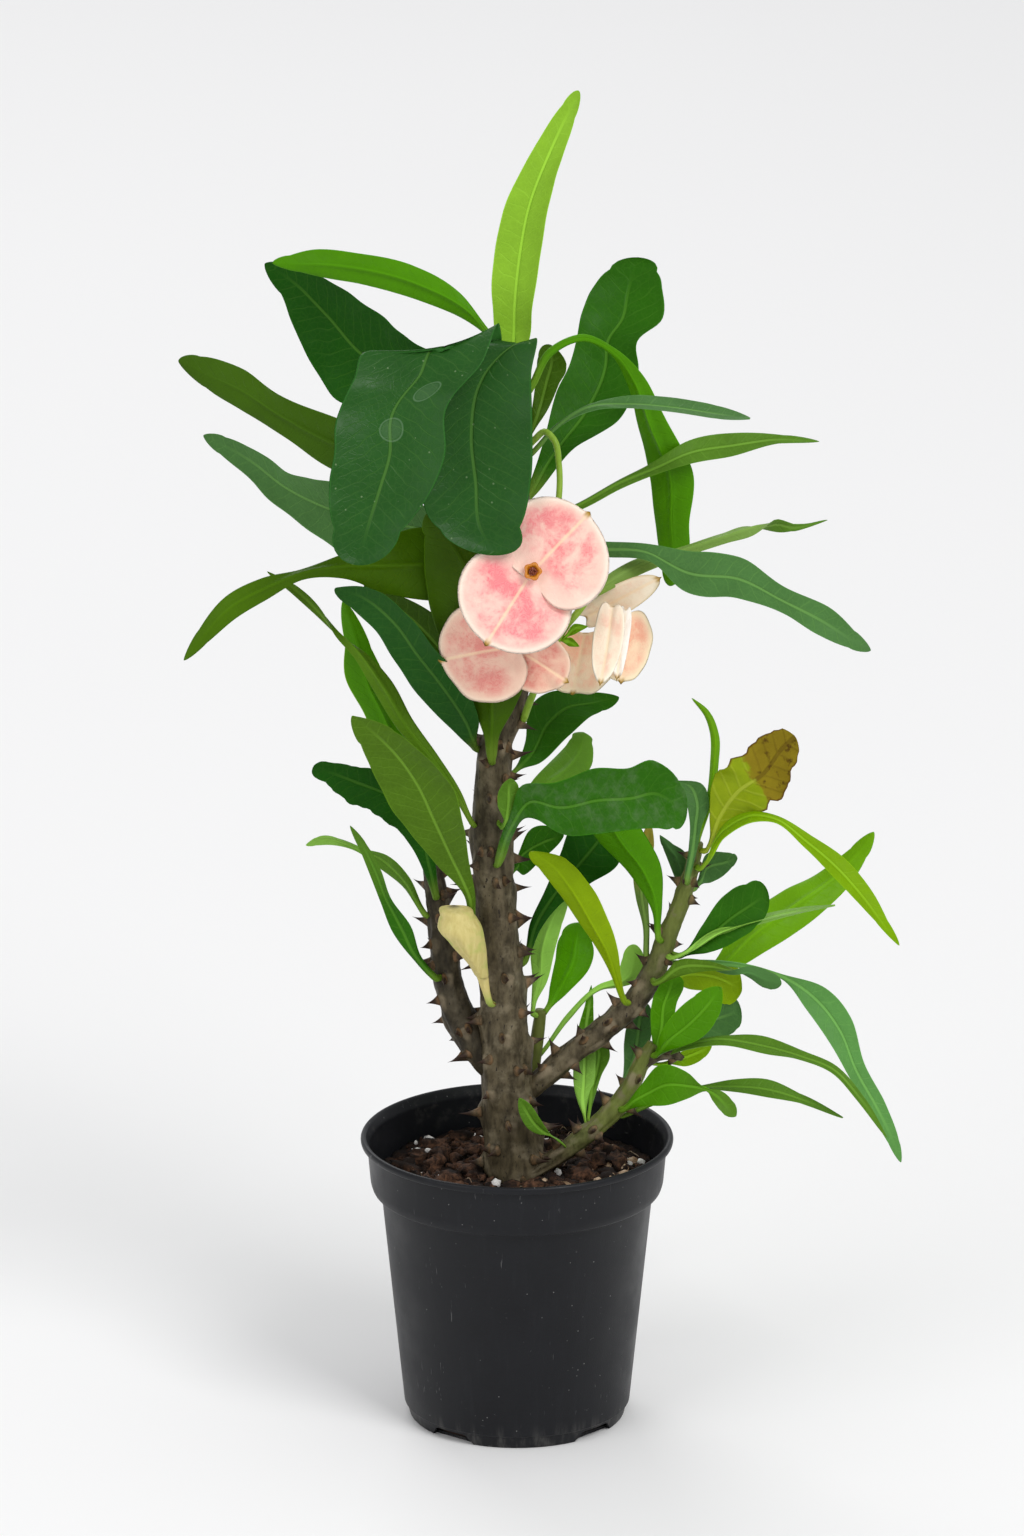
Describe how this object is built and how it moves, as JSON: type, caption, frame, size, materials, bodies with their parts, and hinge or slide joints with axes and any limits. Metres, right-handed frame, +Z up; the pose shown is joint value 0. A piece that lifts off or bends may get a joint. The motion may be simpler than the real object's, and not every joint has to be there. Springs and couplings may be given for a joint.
{
  "type": "potted crown of thorns plant",
  "caption": "Tall crown of thorns succulent with thorny branching stems, broad leaves and pink and cream flowers, in a round black nursery pot.",
  "frame": {"origin": "centre of the pot's flat underside", "axes": "+Z up along the pot's axis, -Y towards the front of the plant, +X to its right as seen from the front"},
  "size_m": [0.2857, 0.1325, 0.5409],
  "materials": {
    "pot": "satin, scuffed and dusty",
    "potting_mix": "rough, moist crumbs",
    "bark": "matt grey-brown bark with thorns",
    "green_stalk": "smooth, slightly glossy",
    "leaf": "waxy satin",
    "dry_leaf": "dry, matt",
    "bract": "soft satin",
    "flower_centre": "glossy with nectar"
  },
  "bodies": {
    "root": {"arching_right_leaf": "leaf", "back_shoot": "bark", "big_front_left_leaf": "leaf", "big_front_right_leaf": "leaf", "bright_back_left_leaf": "leaf", "browning_leaf": "leaf", "centre_olive_leaf": "leaf", "centre_right_olive_leaf": "leaf", "dark_oval_leaf": "leaf", "dry_rolled_leaf": "dry_leaf", "flower_cluster_stalk": "green_stalk", "front_flower_centre": "flower_centre", "front_flower_lower_bract": "bract", "front_flower_stalk": "green_stalk", "front_flower_upper_bract": "bract", "half_open_left_bract": "bract", "half_open_right_bract": "bract", "left_arched_leaf": "leaf", "left_bent_leaf": "leaf", "left_dark_blue_leaf": "leaf", "left_dark_lobed_leaf": "leaf", "left_front_leaf": "leaf", "left_middle_leaf": "leaf", "left_narrow_leaf": "leaf", "left_ribbed_leaf": "leaf", "left_stem": "bark", "left_upper_olive_leaf": "leaf", "lime_bent_leaf": "leaf", "long_arching_leaf": "leaf", "long_back_leaf": "leaf", "long_hanging_leaf": "leaf", "long_narrow_left_leaf": "leaf", "low_far_leaf": "leaf", "low_front_glossy_leaf": "leaf", "low_near_leaf": "leaf", "low_right_branch": "bark", "main_stem": "bark", "middle_front_wide_leaf": "leaf", "middle_right_dark_leaf": "leaf", "middle_right_round_leaf": "leaf", "nursery_pot": "pot", "potting_mix": "potting_mix", "rear_flower_left_bract": "bract", "rear_flower_right_bract": "bract", "right_bright_leaf": "leaf", "right_front_large_leaf": "leaf", "right_middle_leaf": "leaf", "right_twisted_leaf": "leaf", "right_upper_leaf": "leaf", "shoot_bright_leaf": "leaf", "shoot_pale_leaf": "leaf", "side_flower_lower_bract": "bract", "side_flower_upper_bract": "bract", "sword_leaf": "leaf", "top_young_leaf": "leaf", "upper_left_dark_leaf": "leaf", "upper_left_long_leaf": "leaf", "upper_right_branch": "bark", "upper_right_paddle_leaf": "leaf", "yellow_green_leaf": "leaf"}
  },
  "joints": []
}
